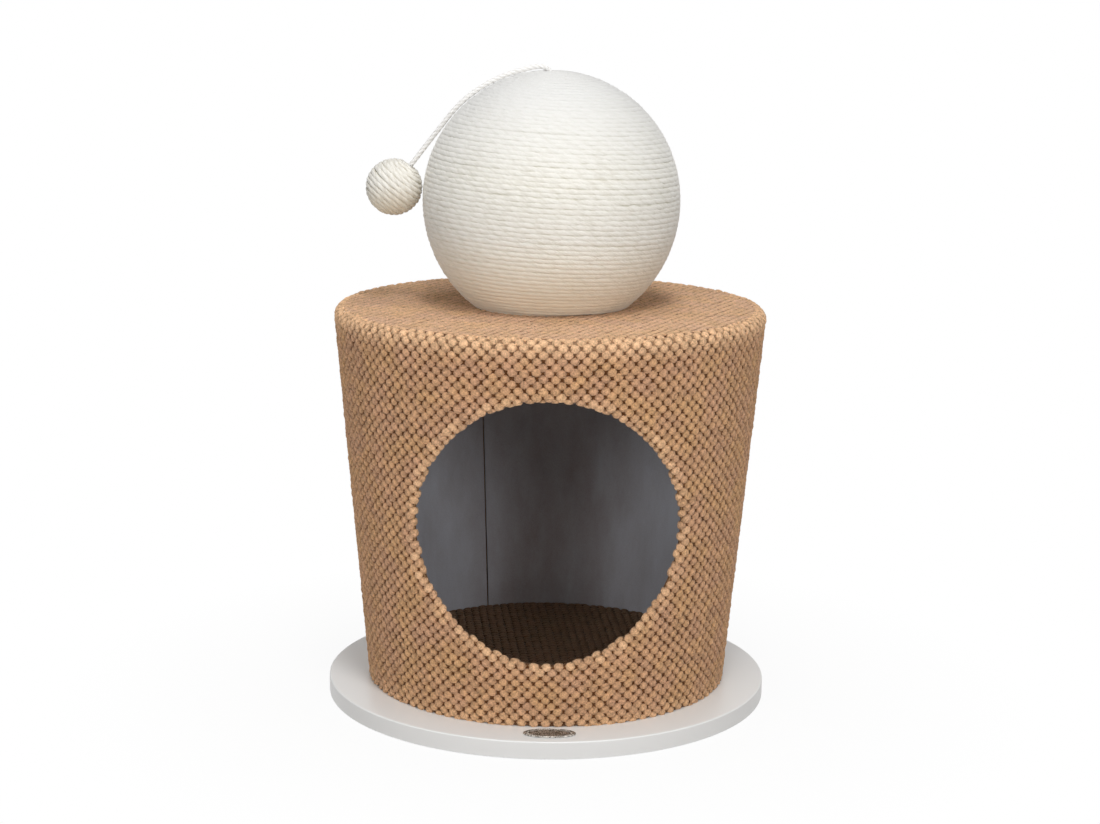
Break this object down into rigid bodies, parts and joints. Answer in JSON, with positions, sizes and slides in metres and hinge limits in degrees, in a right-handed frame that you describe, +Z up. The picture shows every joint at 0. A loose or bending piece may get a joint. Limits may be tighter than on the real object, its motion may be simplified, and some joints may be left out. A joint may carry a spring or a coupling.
{
  "type": "cat cave",
  "caption": "Conical plush-covered cat cave with a round doorway on a round board, topped by a rope-wound scratching ball with a toy on a cord.",
  "frame": {"origin": "middle of the base board's underside, on the floor", "axes": "+Z up through the cave and the ball, the doorway faces -Y, and the toy hangs on the -X side"},
  "size_m": [0.4, 0.4, 0.5719],
  "materials": {
    "white_lacquer": "white satin lacquer on board",
    "plush": "nubbed brown plush",
    "lining": "grey coated lining",
    "fibreboard": "bent fibreboard",
    "plywood": "raw plywood",
    "wadding": "white wadding",
    "zinc_steel": "zinc plated",
    "antique_pewter": "antiqued, blank",
    "moulded_plastic": "moulded",
    "white_rope": "twisted white rope",
    "toy_foam": "moulded foam"
  },
  "bodies": {
    "root": {"base_board": "white_lacquer", "base_screw_1": "zinc_steel", "base_screw_2": "zinc_steel", "base_screw_3": "zinc_steel", "base_screw_4": "zinc_steel", "badge": "antique_pewter", "floor_board": "plywood", "floor_cover": "plush", "floor_staple_1": "zinc_steel", "floor_staple_2": "zinc_steel", "floor_staple_3": "zinc_steel", "floor_staple_4": "zinc_steel", "floor_staple_5": "zinc_steel", "floor_staple_6": "zinc_steel", "top_staple_1": "zinc_steel", "top_staple_2": "zinc_steel", "top_staple_3": "zinc_steel", "top_staple_4": "zinc_steel", "top_staple_5": "zinc_steel", "top_staple_6": "zinc_steel", "wall_shell": "fibreboard", "wall_lining": "lining", "wall_cover": "plush", "top_board": "plywood", "top_pad": "wadding", "top_cover": "plush", "ball_shell_lower": "moulded_plastic", "ball_shell_upper": "moulded_plastic", "ball_base_disc": "plywood", "ball_nut": "zinc_steel", "ball_bolt": "zinc_steel", "ball_washer": "zinc_steel", "ball_winding": "white_rope"},
    "toy_line": {"toy_cord_lay": "white_rope", "line_knot": "white_rope"},
    "toy": {"toy_cord_drop": "white_rope", "toy_core": "toy_foam", "toy_winding": "white_rope"}
  },
  "joints": [
    {"name": "line_swivel", "type": "hinge", "parent": "root", "child": "toy_line", "pos_m": [0, 0, 0.5667], "axis": [0, 0, 1], "range_deg": [-180, 180]},
    {"name": "toy_swing", "type": "hinge", "parent": "toy_line", "child": "toy", "pos_m": [-0.09305, 0, 0.52347], "axis": [0, 1, 0], "range_deg": [0, 90]}
  ]
}
